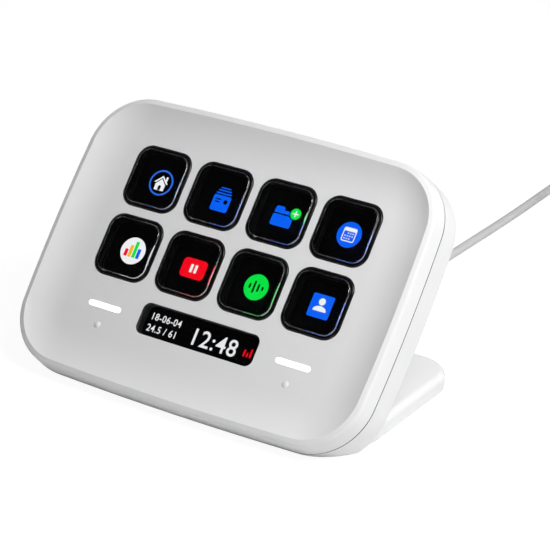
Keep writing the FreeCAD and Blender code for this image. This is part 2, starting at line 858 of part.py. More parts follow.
def blended_path(points, name):
    """Straight runs joined by tangent arcs, each as large as its two runs allow."""
    edges = []
    start = points[0]
    radii = []
    for before, here, after in zip(points, points[1:], points[2:]):
        a = (here - before).normalize()
        b = (after - here).normalize()
        turn = a.getAngle(b)
        cut = 0.45 * min((here - before).Length, (after - here).Length)
        radius = cut / math.tan(turn / 2)
        radii.append(radius)
        first = here - a * cut
        last = here + b * cut
        centre_way = (b - a).normalize()
        mid = here + centre_way * (radius / math.cos(turn / 2) - radius)
        if start.distanceToPoint(first) > 1e-6:
            edges.append(Part.LineSegment(start, first).toShape())
        edges.append(Part.Arc(first, mid, last).toShape())
        start = last
    edges.append(Part.LineSegment(start, points[-1]).toShape())
    print(name, "bend radii", [round(r, 1) for r in radii])
    return Part.Wire(edges)


def tube(wire, radius, name):
    """Round tube along a path, with its volume compared with section times length."""
    first = wire.Edges[0]
    p = first.valueAt(first.FirstParameter)
    d = first.tangentAt(first.FirstParameter)
    section = Part.Wire([Part.Circle(p, d, radius).toShape()])
    solid = wire.makePipeShell([section], True, False)
    ratio = solid.Volume / (math.pi * radius ** 2 * wire.Length)
    print(name, "length", round(wire.Length, 1), "volume over section times length", round(ratio, 4))
    return solid


def cord_level():
    """Height of the cord's middle where it lies on the desk."""
    return cord_radius + 0.05


def coil_level():
    """Height of the lowest turns, which lie on the tie."""
    return tie_thick + tie_gap + cord_radius


def coil_outer_radius():
    return coil_inner_radius + coil_steps * coil_pitch / 2


def coil_start():
    return V(coil_start_x, coil_y, coil_level())


def cord_route():
    """From the strain relief down to the desk and back to the coil."""
    z = cord_level()
    end = coil_start() - V(0, 2 * cord_radius, 0)
    return [
        V(cord_x, relief_tip(), cord_height),
        V(cord_x, relief_tip() + 7, cord_height - 0.05),
        V(cord_x + 0.1, relief_tip() + 19, z + 0.25),
        V(cord_x + 0.3, relief_tip() + 34, z),
        V(cord_x + 0.8, relief_tip() + 60, z),
        V(cord_x + 1.55, relief_tip() + 92, z + 0.1),
        V(end.x, end.y - 12, end.z),
        end,
    ]


def relief_tip():
    return stand_back + relief_length


def half_turn(start, side, radius, rise):
    """Half a turn to the right from start, as two quarter arcs, up by rise. side is +1 at the left."""
    end = start + V(side * 2 * radius, 0, rise)
    centre = (start + end) * 0.5
    across = (end - start) * 0.5
    ahead = V(0, side * across.Length, 0)
    s = math.sqrt(0.5)
    first = Part.Arc(start, centre + (ahead - across) * s, centre + ahead)
    last = Part.Arc(centre + ahead, centre + (ahead + across) * s, end)
    return [first.toShape(), last.toShape()], end


def coil_plan():
    """Radius and rise of each half turn: in, up, out, up, in, up and out again.

    The middle layers turn back a step early, so that all four lie over each other."""
    n = coil_steps
    layers = [range(n, 1, -1), [1], range(2, n - 1), [n - 1], range(n - 2, 0, -1), [0], range(1, n + 1)]
    plan = []
    for i, steps in enumerate(layers):
        rise = coil_rise if i % 2 else 0
        plan += [(coil_inner_radius + step * coil_pitch / 2, rise) for step in steps]
    return plan


def coil_path():
    start = coil_start()
    lead_in = 2 * cord_radius
    edges = [Part.LineSegment(start - V(0, lead_in, 0), start).toShape()]
    side = 1
    for radius, rise in coil_plan():
        arcs, start = half_turn(start, side, radius, rise)
        edges += arcs
        side = -side
    out = V(0, side * lead_in, 0)
    edges.append(Part.LineSegment(start, start + out).toShape())
    return Part.Wire(edges), start + out


def least_gap(wire, radius):
    """Smallest free space between stretches of a tube that aren't next to each other."""
    step = 0.8
    count = int(wire.Length / step)
    points = wire.discretize(count)
    spacing = wire.Length / (count - 1)
    skip = int(5 * radius / spacing) + 1
    least = 1e9
    for i in range(0, count, 2):
        for j in range(i + skip, count):
            d = points[i].distanceToPoint(points[j])
            if d < least:
                least = d
    return least - 2 * radius


def tail_route():
    """From the coil's last turn down to the plug's middle."""
    start = coil_path()[1]
    z = plug_middle()
    drop = start.z - z
    steps = [(0, 0, 0), (0, 9.0, 0), (0.8, 19.5, 0.33), (2.1, 31.0, 0.84), (3.1, 41.0, 1.0),
             (3.1, 49.0, 1.0)]
    return [start - V(x, y, drop * part) for x, y, part in steps]


def plug_middle():
    return plug_thick / 2


def plug_start():
    return tail_route()[-1]


def make_cord_coil():
    wire = coil_path()[0]
    solid = tube(wire, cord_radius, "cord_coil")
    print("cord_coil least gap", round(least_gap(wire, cord_radius), 3))
    return solid


def relief_sleeve_radius(y):
    """Radius of the tapered sleeve at a place along it."""
    share = (y - stand_back - layer_gap) / (relief_length - layer_gap)
    return relief_radius + (relief_tip_radius - relief_radius) * share


def make_strain_relief():
    """Tapered and grooved sleeve on the cord, with a neck through the stand's rear wall and a collar inside."""
    inside = stand_back - stand_rear_wall
    base = stand_back + layer_gap
    grooves = []
    for i in range(relief_grooves):
        near = base + relief_groove_first + i * relief_groove_pitch
        far = near + relief_groove_width
        low = relief_sleeve_radius(far) - relief_groove_depth
        grooves += [V(relief_sleeve_radius(near), near, 0), V(low, near, 0), V(low, far, 0),
                    V(relief_sleeve_radius(far), far, 0)]
    profile = [
        V(0, inside - relief_collar, 0),
        V(relief_collar_radius, inside - relief_collar, 0),
        V(relief_collar_radius, inside - layer_gap, 0),
        V(relief_neck_radius, inside - layer_gap, 0),
        V(relief_neck_radius, base, 0),
        V(relief_radius, base, 0),
        *grooves,
        V(relief_tip_radius, relief_tip(), 0),
        V(0, relief_tip(), 0),
    ]
    solid = Part.Face(closed_path(profile)).revolve(V(0, 0, 0), V(0, 1, 0), 360)
    solid.translate(V(cord_x, 0, cord_height))
    over_cover = stand_back - pad_inset - cover_inset + layer_gap
    return solid.cut(box(0, 2 * cord_x, 0, over_cover, 0, cover_top + layer_gap))


def make_inner_lead():
    """Inner wires in their sleeve, along the tray and up to the board's socket."""
    start_y = stand_back - stand_rear_wall - relief_collar - layer_gap
    end = level_point(socket_x - layer_gap, socket_y, board_front + socket_height / 2)
    t = math.radians(face_tilt)
    up_face = lead_wall_gap + shell_wall - wall_lean + lead_radius - bottom_below_grid
    turn_y = (up_face + (grid_height - lead_level) * math.sin(t)) / math.cos(t)
    route = [
        V(cord_x, start_y, lead_level),
        V(cord_x, turn_y, lead_level),
        V(cord_x + lead_side_run, turn_y, lead_level),
        V(end.x - lead_socket_run, end.y, end.z),
        end,
    ]
    return tube(blended_path(route, "inner_lead"), lead_radius, "inner_lead")


def make_cord_tie():
    """Strap closed round the bundle of turns at the back of the coil."""
    side = [r for i, (r, rise) in enumerate(coil_plan()) if i % 2 == 0]
    near = math.sqrt(min(side) ** 2 - (tie_width / 2) ** 2) - cord_radius - tie_gap
    far = max(side) + cord_radius + tie_gap
    top = coil_level() + 3 * coil_rise + cord_radius + tie_gap
    t = tie_thick
    y = coil_y
    outer = round_wire(near - t, 0, far + t, top + t, [tie_radius] * 4, 0)
    inner = round_wire(near, t, far, top, [tie_radius - t] * 4, 0)
    band = Part.Face(outer).extrude(V(0, 0, tie_width)).cut(Part.Face(inner).extrude(V(0, 0, tie_width)))
    band.rotate(V(0, 0, 0), V(1, 1, 1), 120)
    band.translate(V(coil_start_x + coil_outer_radius() - tie_width / 2, y, 0))
    return band


def make_plug_body():
    """Moulded plug body with a tapered tail, lying flat beside the coil."""
    p = plug_start()
    tail = Part.makeCone(cord_radius + plug_tail_wall, plug_tail_radius, plug_tail, p, V(0, -1, 0))
    y1 = p.y - plug_tail
    y0 = y1 - plug_length
    half = plug_width / 2
    body = round_wire(p.x - half, 0, p.x + half, plug_thick, [plug_thick / 2 - plug_side_flat] * 4, 0)
    body = Part.Face(body).extrude(V(0, 0, plug_length))
    body.rotate(V(p.x, 0, 0), V(1, 0, 0), 90)
    body.translate(V(0, y1, 0))
    ends = [e for e in body.Edges if abs(e.BoundBox.YMin - e.BoundBox.YMax) < 1e-4]
    body = body.makeFillet(plug_round, ends)
    return body.fuse(tail).removeSplitter()


def make_plug_tip():
    """Metal shell of the plug's contact end, open at its mouth."""
    p = plug_start()
    y1 = p.y - plug_tail - plug_length
    w = plug_tip_width
    h = plug_tip_thick

    def stadium(shrink, length, from_y):
        half = w / 2 - shrink
        low = plug_middle() - h / 2 + shrink
        high = low + h - 2 * shrink
        radius = h / 2 - shrink - plug_side_flat
        wire = round_wire(p.x - half, low, p.x + half, high, [radius] * 4, 0)
        s = Part.Face(wire).extrude(V(0, 0, length))
        s.rotate(V(p.x, 0, 0), V(1, 0, 0), 90)
        s.translate(V(0, from_y, 0))
        return s

    shell = stadium(0, plug_tip_length, y1)
    mouth = stadium(plug_tip_wall, plug_tip_length, y1 - plug_mouth_floor)
    half = plug_tongue_thick / 2
    tongue = box(p.x - plug_tongue_half, p.x + plug_tongue_half, y1 - plug_tip_length + plug_tongue_inset,
                 y1 - plug_tongue_root, plug_middle() - half, plug_middle() + half)
    return shell.cut(mouth).fuse(tongue).removeSplitter()


# Assembly

def make_all():
    parts = {
        "front_shell": make_front_shell(),
        "rear_shell": make_rear_shell(),
        "base_cover": make_base_cover(),
        "base_pad": make_base_pad(),
        "ballast_left": make_ballast(-1),
        "ballast_right": make_ballast(1),
        "key_mat": make_key_mat(),
        "contact_film": make_contact_film(),
        "lcd_cell": make_lcd_cell(),
        "backlight": make_backlight(),
        "display_frame": make_display_frame(),
        "display_flex": make_display_flex(),
        "flex_clamp": make_flex_clamp(),
        "info_window": face_insert(window_width, window_height, window_radius, 0, window_y,
                                   window_sunk, window_back),
        "window_gasket": gasket(window_width, window_height, window_radius, 0, window_y,
                                window_back - gasket_gap),
        "touch_film": make_touch_film(),
        "main_board": make_main_board(),
        "board_chips": make_board_chips(),
        "lead_socket": make_lead_socket(),
        "display_screws": make_display_screws(),
        "board_screws": make_board_screws(),
        "base_screws": make_base_screws(),
        "strain_relief": make_strain_relief(),
        "inner_lead": make_inner_lead(),
        "cord_straight": tube(blended_path(cord_route(), "cord_straight"), cord_radius, "cord_straight"),
        "cord_coil": make_cord_coil(),
        "cord_tail": tube(blended_path(tail_route(), "cord_tail"), cord_radius, "cord_tail"),
        "cord_tie": make_cord_tie(),
        "plug_body": make_plug_body(),
        "plug_tip": make_plug_tip(),
    }
    for name, x in zip(("left", "right"), bar_places):
        parts["light_bar_" + name] = face_insert(bar_width, bar_height, bar_height / 2, x, bar_y,
                                                 bar_sunk, window_back)
        parts["bar_gasket_" + name] = gasket(bar_width, bar_height, bar_height / 2, x, bar_y,
                                             window_back - gasket_gap)
    for i, (x, y) in enumerate(key_places):
        parts["key_cap_" + str(i + 1)] = make_key_cap(x, y)
    return parts


def main():
    parts = make_all()
    body = [parts[name].optimalBoundingBox(False, False) for name in ("front_shell", "rear_shell")]
    y0 = min(b.YMin for b in body)
    y1 = max(b.YMax for b in body)
    shift = -(y0 + y1) / 2
    print("shift along Y", round(shift, 4), "depth", round(y1 - y0, 3),
          "height", round(max(b.ZMax for b in body), 3))
    os.makedirs("parts", exist_ok=True)
    for name, shape in parts.items():
        shape.translate(V(0, shift, 0))
        if not shape.isValid():
            print("not valid:", name)
        for solid in shape.Solids:
            if solid.Volume < 0.01:
                print("small solid in", name, solid.Volume)
        shape.exportStep(os.path.join("parts", name + ".step"))
        print(name, len(shape.Solids), round(shape.Volume, 2))


main()
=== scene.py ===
import bmesh
import bpy
import json
import math
from mathutils import Matrix, Vector

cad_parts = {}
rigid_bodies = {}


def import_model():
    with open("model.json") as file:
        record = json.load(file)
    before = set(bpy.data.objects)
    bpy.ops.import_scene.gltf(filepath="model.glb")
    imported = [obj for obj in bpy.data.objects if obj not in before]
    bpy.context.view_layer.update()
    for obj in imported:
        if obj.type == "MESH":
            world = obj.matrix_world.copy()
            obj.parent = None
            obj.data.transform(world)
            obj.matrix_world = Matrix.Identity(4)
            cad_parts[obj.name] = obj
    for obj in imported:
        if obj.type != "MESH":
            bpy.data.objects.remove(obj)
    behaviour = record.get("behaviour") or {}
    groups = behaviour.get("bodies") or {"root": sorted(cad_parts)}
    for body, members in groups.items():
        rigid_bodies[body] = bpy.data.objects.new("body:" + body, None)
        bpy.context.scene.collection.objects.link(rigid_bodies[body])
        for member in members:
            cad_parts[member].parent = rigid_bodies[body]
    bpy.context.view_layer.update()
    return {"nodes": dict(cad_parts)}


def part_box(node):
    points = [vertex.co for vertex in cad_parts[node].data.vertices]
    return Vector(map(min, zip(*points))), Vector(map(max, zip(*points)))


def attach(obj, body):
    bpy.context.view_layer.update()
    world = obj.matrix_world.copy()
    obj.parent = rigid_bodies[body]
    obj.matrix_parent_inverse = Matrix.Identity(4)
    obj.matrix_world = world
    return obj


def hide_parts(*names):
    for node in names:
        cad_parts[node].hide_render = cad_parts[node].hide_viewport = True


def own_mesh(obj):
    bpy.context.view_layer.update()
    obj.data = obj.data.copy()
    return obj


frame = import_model()
cad_nodes = frame["nodes"]
for leftover in [o for o in bpy.data.objects if o.name in ("Cube", "Camera", "Light")]:
    bpy.data.objects.remove(leftover)
scene = bpy.context.scene
scene.view_settings.view_transform = "Standard"
mm = 0.001

# Camera
# A still camera with a long lens in front of the pad, to its right and above it. Its place and its turn are
# solved from the straight grid of the eight keys.
lens_data = bpy.data.cameras.new("photo_camera")
lens_data.lens = 158.7
lens_data.sensor_width = 36.0
lens_data.clip_start = 0.01
camera = bpy.data.objects.new("photo_camera", lens_data)
scene.collection.objects.link(camera)
sight = Vector((-0.49500, 0.76298, -0.41574)).normalized()
sideways = Vector((0.83426, 0.55107, 0.01804)).normalized()
upwards = sideways.cross(sight)
camera.matrix_world = Matrix((sideways, upwards, -sight)).transposed().to_4x4()
camera.location = (0.3198, -0.4738, 0.2906)
scene.camera = camera

# Studio
# White paper under a faint sky, a soft lamp close by at the upper right, and four wide, weaker ones. The
# camera sees the sky as white, and gloss sees a white tent that is open to the dark at the front left.
sky_light = 0.10
sky_gloss = 0.35
sky_dim = 0.01
sky_dim_towards = (-0.50, -0.64, 0.58)
paper_white = (0.86, 0.86, 0.86, 1)
paper_glow_strength = 1.15
paper_glow_share = 0.80
lamp_target = Vector((0, 0, 0.03))
world = bpy.data.worlds.new("studio_sky")
scene.world = world
world.use_nodes = True
sky = world.node_tree
sky.nodes.clear()
sky_seen = sky.nodes.new("ShaderNodeLightPath")
sky_mix = sky.nodes.new("ShaderNodeMix")
sky_mix.data_type = "RGBA"
sky_mix.inputs["B"].default_value = (1, 1, 1, 1)
sky_place = sky.nodes.new("ShaderNodeTexCoord")
sky_side = sky.nodes.new("ShaderNodeVectorMath")
sky_side.operation = "DOT_PRODUCT"
sky_side.inputs[1].default_value = sky_dim_towards
sky_level = sky.nodes.new("ShaderNodeMapRange")
sky_level.interpolation_type = "SMOOTHSTEP"
sky_level.inputs["From Min"].default_value = 0.25
sky_level.inputs["From Max"].default_value = 0.92
sky_tent = sky.nodes.new("ShaderNodeMath")
sky_tent.operation = "MULTIPLY_ADD"
sky_tent.inputs[1].default_value = sky_gloss
sky_tent.inputs[2].default_value = sky_light
sky_level.inputs["To Max"].default_value = sky_dim
sky_back = sky.nodes.new("ShaderNodeBackground")
sky_out = sky.nodes.new("ShaderNodeOutputWorld")
sky.links.new(sky_seen.outputs["Is Camera Ray"], sky_mix.inputs["Factor"])
sky.links.new(sky_seen.outputs["Is Glossy Ray"], sky_tent.inputs[0])
sky.links.new(sky_tent.outputs[0], sky_level.inputs["To Min"])
sky.links.new(sky_place.outputs["Generated"], sky_side.inputs[0])
sky.links.new(sky_side.outputs["Value"], sky_level.inputs["Value"])
sky.links.new(sky_level.outputs["Result"], sky_mix.inputs["A"])
sky.links.new(sky_mix.outputs["Result"], sky_back.inputs["Color"])
sky.links.new(sky_back.outputs[0], sky_out.inputs["Surface"])

bpy.ops.object.select_all(action="DESELECT")
bpy.ops.mesh.primitive_plane_add(size=8.0, location=(0, 0, 0))
floor = bpy.context.object
floor.name = "floor"
paper = bpy.data.materials.new("white_paper")
paper.use_nodes = True
paper_tree = paper.node_tree
paper_shader = paper_tree.nodes["Principled BSDF"]
paper_shader.inputs["Base Color"].default_value = paper_white
paper_shader.inputs["Roughness"].default_value = 0.9
paper_shader.inputs["Specular IOR Level"].default_value = 0.1
paper_glow = paper_tree.nodes.new("ShaderNodeEmission")
paper_glow.inputs["Strength"].default_value = paper_glow_strength
paper_mix = paper_tree.nodes.new("ShaderNodeMixShader")
paper_path = paper_tree.nodes.new("ShaderNodeLightPath")
paper_share = paper_tree.nodes.new("ShaderNodeMath")
paper_share.operation = "MULTIPLY"
paper_share.inputs[1].default_value = paper_glow_share
paper_out = paper_tree.nodes["Material Output"]
paper_tree.links.new(paper_path.outputs["Is Camera Ray"], paper_share.inputs[0])
paper_tree.links.new(paper_share.outputs[0], paper_mix.inputs[0])
paper_tree.links.new(paper_shader.outputs[0], paper_mix.inputs[1])
paper_tree.links.new(paper_glow.outputs[0], paper_mix.inputs[2])
paper_tree.links.new(paper_mix.outputs[0], paper_out.inputs["Surface"])
floor.data.materials.append(paper)

for name, place, side, energy in (("near_lamp", (0.25, -0.05, 0.34), 0.2, 1.46),
                                  ("top_lamp", (0.10, 0.10, 0.60), 0.4, 0.45),
                                  ("left_lamp", (-0.60, 0.10, 0.35), 0.4, 0.6),
                                  ("low_lamp", (0.25, -0.75, 0.12), 0.4, 0.8),
                                  ("back_lamp", (0.40, 0.62, 0.14), 0.5, 0.9)):
    bpy.ops.object.light_add(type="AREA", location=place)
    lamp = bpy.context.object
    lamp.name = name
    lamp.data.size = side
    lamp.data.energy = energy
    lamp.rotation_euler = (lamp_target - lamp.location).to_track_quat("-Z", "Y").to_euler()

# Cable
# A thin round lead in a soft white jacket, 1.5 m long. It leaves the stand through its relief, runs back
# over the desk, and is put away in a coil of layers that lie on each other, with its plug beside them.
jacket_radius = 1.275 * mm
coil_centre_y = 180.0
coil_first_x = 10.6
coil_height = 2.275
coil_inside = 8.4
coil_step = 1.5
coil_rise = 3.0
points_per_half_turn = 8


def coil_points():
    """Control points of every half turn, in mm. Each lies outside its arc by half a point's angle."""
    steps = [list(range(8, 1, -1)), [1], list(range(2, 7)), [7], list(range(6, 0, -1)), [0],
             list(range(1, 9))]
    points = []
    x = coil_first_x
    z = coil_height
    side = 1
    for layer, radii in enumerate(steps):
        for step in radii:
            radius = coil_inside + step * coil_step
            rise = coil_rise if layer % 2 else 0.0
            spread = radius / math.cos(math.pi / (2 * points_per_half_turn))
            for k in range(points_per_half_turn):
                share = (k + 0.5) / points_per_half_turn
                angle = share * math.pi
                points.append((x + side * (radius - spread * math.cos(angle)),
                               coil_centre_y + side * spread * math.sin(angle),
                               z + rise * share))
            x += side * 2 * radius
            z += rise
            side = -side
    return points


route_out = [(8.8, 43.5, 2.7), (8.8, 50.5, 2.65), (8.9, 62.5, 1.575), (9.1, 77.5, 1.325),
             (9.6, 103.5, 1.325), (10.35, 135.5, 1.425), (10.6, 165.45, 2.275), (10.6, 177.45, 2.275)]
route_tail = [(51.4, 177.45, 11.275), (51.4, 168.45, 11.275), (50.6, 157.95, 8.577),
              (49.3, 146.45, 4.408), (48.3, 136.45, 3.1), (48.3, 128.45, 3.1)]
route = route_out + coil_points() + route_tail
cable_curve = bpy.data.curves.new("cable", "CURVE")
cable_curve.dimensions = "3D"
cable_curve.bevel_depth = 1.0
cable_curve.bevel_resolution = 5
cable_curve.resolution_u = 5
cable_curve.use_fill_caps = True
line = cable_curve.splines.new("NURBS")
line.points.add(len(route) - 1)
for point, (x, y, z) in zip(line.points, route):
    point.co = (x * mm, y * mm, z * mm, 1)
    point.radius = jacket_radius
line.order_u = 3
line.use_endpoint_u = True
cable = bpy.data.objects.new("cable", cable_curve)
scene.collection.objects.link(cable)
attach(cable, "housing")
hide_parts("cord_straight", "cord_coil", "cord_tail")


def moulded_skin_group():
    """Colour, roughness and normal of a moulded skin: a fine spark grain and a slow change of tone."""
    group = bpy.data.node_groups.new("moulded_skin", "ShaderNodeTree")
    sockets = (("Colour", "INPUT", "NodeSocketColor"), ("Tone", "INPUT", "NodeSocketFloat"),
               ("Roughness", "INPUT", "NodeSocketFloat"), ("Grains per metre", "INPUT", "NodeSocketFloat"),
               ("Grain height", "INPUT", "NodeSocketFloat"), ("Colour", "OUTPUT", "NodeSocketColor"),
               ("Roughness", "OUTPUT", "NodeSocketFloat"), ("Normal", "OUTPUT", "NodeSocketVector"))
    for name, way, kind in sockets:
        group.interface.new_socket(name, in_out=way, socket_type=kind)
    given = group.nodes.new("NodeGroupInput")
    out = group.nodes.new("NodeGroupOutput")
    place = group.nodes.new("ShaderNodeTexCoord")
    slow = group.nodes.new("ShaderNodeTexNoise")
    slow.inputs["Scale"].default_value = 38.0
    slow.inputs["Detail"].default_value = 3.0
    grain = group.nodes.new("ShaderNodeTexNoise")
    grain.inputs["Detail"].default_value = 2.0
    shade = group.nodes.new("ShaderNodeHueSaturation")
    level = group.nodes.new("ShaderNodeMapRange")
    level.inputs["To Min"].default_value = -0.5
    level.inputs["To Max"].default_value = 0.5
    depth = group.nodes.new("ShaderNodeMath")
    depth.operation = "MULTIPLY_ADD"
    depth.inputs[2].default_value = 1.0
    rough = group.nodes.new("ShaderNodeMath")
    rough.operation = "MULTIPLY_ADD"
    rough.inputs[1].default_value = 0.12
    bump = group.nodes.new("ShaderNodeBump")
    bump.inputs["Strength"].default_value = 1.0
    join = group.links.new
    join(place.outputs["Object"], slow.inputs["Vector"])
    join(place.outputs["Object"], grain.inputs["Vector"])
    join(given.outputs["Grains per metre"], grain.inputs["Scale"])
    join(slow.outputs["Fac"], level.inputs["Value"])
    join(level.outputs["Result"], depth.inputs[0])
    join(given.outputs["Tone"], depth.inputs[1])
    join(depth.outputs[0], shade.inputs["Value"])
    join(given.outputs["Colour"], shade.inputs["Color"])
    join(level.outputs["Result"], rough.inputs[0])
    join(given.outputs["Roughness"], rough.inputs[2])
    join(grain.outputs["Fac"], bump.inputs["Height"])
    join(given.outputs["Grain height"], bump.inputs["Distance"])
    join(shade.outputs["Color"], out.inputs["Colour"])
    join(rough.outputs[0], out.inputs["Roughness"])
    join(bump.outputs["Normal"], out.inputs["Normal"])
    return group


moulded_skin = moulded_skin_group()


def skinned(name, colour, roughness, grains=2600.0, height=0.02, tone=0.04, metallic=0.0, specular=0.5):
    """Material with the moulded skin at its own values: grains to the metre, grain height in mm."""
    material = bpy.data.materials.new(name)
    material.use_nodes = True
    tree = material.node_tree
    shader = tree.nodes["Principled BSDF"]
    shader.inputs["Metallic"].default_value = metallic
    shader.inputs["Specular IOR Level"].default_value = specular
    skin = tree.nodes.new("ShaderNodeGroup")
    skin.node_tree = moulded_skin
    skin.inputs["Colour"].default_value = (*colour, 1)
    skin.inputs["Tone"].default_value = tone
    skin.inputs["Roughness"].default_value = roughness
    skin.inputs["Grains per metre"].default_value = grains
    skin.inputs["Grain height"].default_value = height * mm
    tree.links.new(skin.outputs["Colour"], shader.inputs["Base Color"])
    tree.links.new(skin.outputs["Roughness"], shader.inputs["Roughness"])
    tree.links.new(skin.outputs["Normal"], shader.inputs["Normal"])
    return material


jacket = skinned("cord_jacket_white", (0.62, 0.62, 0.625), 0.55, grains=1800.0, height=0.015, tone=0.06)
cable.data.materials.append(jacket)


def dress(node, material):
    """Give a CAD node its finish."""
    cad_nodes[node].material_slots[0].material = material


dress("strain_relief", skinned("relief_rubber", (0.72, 0.72, 0.725), 0.6, grains=1500.0, height=0.02))
dress("inner_lead", skinned("lead_sleeve_grey", (0.3, 0.3, 0.31), 0.5, grains=900.0, height=0.03))


# Tie
# Silicone strap round the bundle of turns at the back of the coil, closed by a stud in its top. It is
# moulded flat and wrapped, so its edges are soft.
tie_corner = 2.5
tie_wall = 0.8
tie_soft = 0.2
smooth_angle = 35


def start_piece(name):
    """Name the primitive that was just added and go into edit mode on it."""
    piece = bpy.context.object
    piece.name = name
    piece.data.name = name
    bpy.ops.object.transform_apply(location=True, rotation=True, scale=True)
    bpy.ops.object.mode_set(mode="EDIT")
    return piece


def start_block(name, middle, size):
    """Add a block about a middle, both in mm, and go into edit mode on it."""
    bpy.ops.object.select_all(action="DESELECT")
    bpy.ops.mesh.primitive_cube_add(size=1, location=[c * mm for c in middle], scale=[c * mm for c in size])
    return start_piece(name)


def pick_edges(test):
    """Select the edges of the open piece whose middle and direction pass the test."""
    bpy.ops.mesh.select_mode(type="EDGE")
    bpy.ops.mesh.select_all(action="DESELECT")
    shape = bmesh.from_edit_mesh(bpy.context.object.data)
    for edge in shape.edges:
        a, b = (v.co for v in edge.verts)
        edge.select = test((a + b) / 2, (b - a).normalized())
    bmesh.update_edit_mesh(bpy.context.object.data)


def pick_faces(test):
    """Select the faces of the open piece whose middle and normal pass the test."""
    bpy.ops.mesh.select_mode(type="FACE")
    bpy.ops.mesh.select_all(action="DESELECT")
    shape = bmesh.from_edit_mesh(bpy.context.object.data)
    for face in shape.faces:
        face.select = test(face.calc_center_median(), face.normal)
    bmesh.update_edit_mesh(bpy.context.object.data)


def round_corners(radius, segments):
    """Round the upright edges of the open piece by a radius in mm."""
    pick_edges(lambda middle, way: abs(way.z) > 0.9)
    bpy.ops.mesh.bevel(offset=radius * mm, segments=segments)


def thicken(piece, wall):
    """Leave edit mode and give the skin that is left a wall of some mm, to its inner side."""
    bpy.ops.object.mode_set(mode="OBJECT")
    solid = piece.modifiers.new("wall", "SOLIDIFY")
    solid.thickness = wall * mm
    solid.offset = -1
    bpy.ops.object.modifier_apply(modifier="wall")


def soften(piece, width, segments, sharp):
    """Leave edit mode and round by some mm the edges that turn by more than an angle in degrees."""
    bpy.ops.object.mode_set(mode="OBJECT")
    soft = piece.modifiers.new("soft_edges", "BEVEL")
    soft.width = width * mm
    soft.segments = segments
    soft.angle_limit = math.radians(sharp)
    bpy.ops.object.modifier_apply(modifier="soft_edges")


def end_piece(piece, material):
    """Leave edit mode, smooth the piece, give it its finish and set it on the housing."""
    bpy.ops.object.mode_set(mode="OBJECT")
    bpy.ops.object.shade_smooth_by_angle(angle=math.radians(smooth_angle))
    piece.data.materials.clear()
    piece.data.materials.append(material)
    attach(piece, "housing")


def middle_and_size(node):
    """Middle and size, in mm, of the box round a CAD node."""
    low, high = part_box(node)
    return [(a + b) / 2 / mm for a, b in zip(low, high)], [(b - a) / mm for a, b in zip(low, high)]


tie = start_block("tie_strap", *middle_and_size("cord_tie"))
pick_faces(lambda middle, normal: abs(normal.x) > 0.9)
bpy.ops.mesh.delete(type="FACE")
pick_edges(lambda middle, way: abs(way.x) > 0.9)
bpy.ops.mesh.bevel(offset=tie_corner * mm, segments=8)
thicken(tie, tie_wall)
soften(tie, tie_soft, 3, 50)
end_piece(tie, skinned("tie_silicone_grey", (0.46, 0.46, 0.47), 0.62, grains=1200.0, height=0.015))
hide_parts("cord_tie")

# Plug
# White grip with a tapered tail, moulded over the cable's end, and a drawn steel shell with the contact
# tongue inside.
dress("plug_body", skinned("plug_white", (0.78, 0.78, 0.785), 0.5, grains=2200.0, height=0.015))
plug_steel = skinned("plug_steel_bright", (0.74, 0.74, 0.72), 0.28, grains=3000.0, height=0.004,
                     metallic=1.0)
dress("plug_tip", plug_steel)

# Shells
# Front shell with the dished face and rear shell with the stand, moulded in white ABS with a matte grain.
# They snap together by tongue and groove. Painted shade darkens the joint's groove and the cut-outs' walls.
face_tilt = math.radians(50.0)
grid_height = 39.1 * mm
joint_depth = 3.275
joint_shade_half = 0.13
# Depth and plan, in mm, of the painted shade on the inner walls of the cut-outs
cutout_shade_top = -0.12
cutout_shade_bottom = -1.7
keys_cutout_shade_half = (41.0, 20.5)
window_cutout_shade_half = (18.3, 4.5)
window_middle = -26.44
painted_shade_black = (0.04, 0.04, 0.04, 1)
shell_white = skinned("shell_plastic_white", (0.80, 0.80, 0.805), 0.52, grains=3400.0, height=0.012,
                      tone=0.015)
shell_tree = shell_white.node_tree
shell_place = shell_tree.nodes.new("ShaderNodeTexCoord")
shell_face = shell_tree.nodes.new("ShaderNodeMapping")
shell_face.vector_type = "TEXTURE"
shell_face.inputs["Location"].default_value = (0, 0, grid_height)
shell_face.inputs["Rotation"].default_value = (face_tilt, 0, 0)
shell_axes = shell_tree.nodes.new("ShaderNodeSeparateXYZ")
shell_tree.links.new(shell_place.outputs["Object"], shell_face.inputs["Vector"])
shell_tree.links.new(shell_face.outputs["Vector"], shell_axes.inputs["Vector"])


def worked_out(tree, operation, *sources):
    """Value of a math node that takes its inputs from the sources."""
    node = tree.nodes.new("ShaderNodeMath")
    node.operation = operation
    for source, socket in zip(sources, node.inputs):
        tree.links.new(source, socket)
    return node.outputs[0]


def band(tree, source, middle, half):
    """Mask that is 1 where a value lies within a half width of a middle, and 0 elsewhere."""
    mask = worked_out(tree, "COMPARE", source)
    mask.node.inputs[1].default_value = middle
    mask.node.inputs[2].default_value = half
    return mask


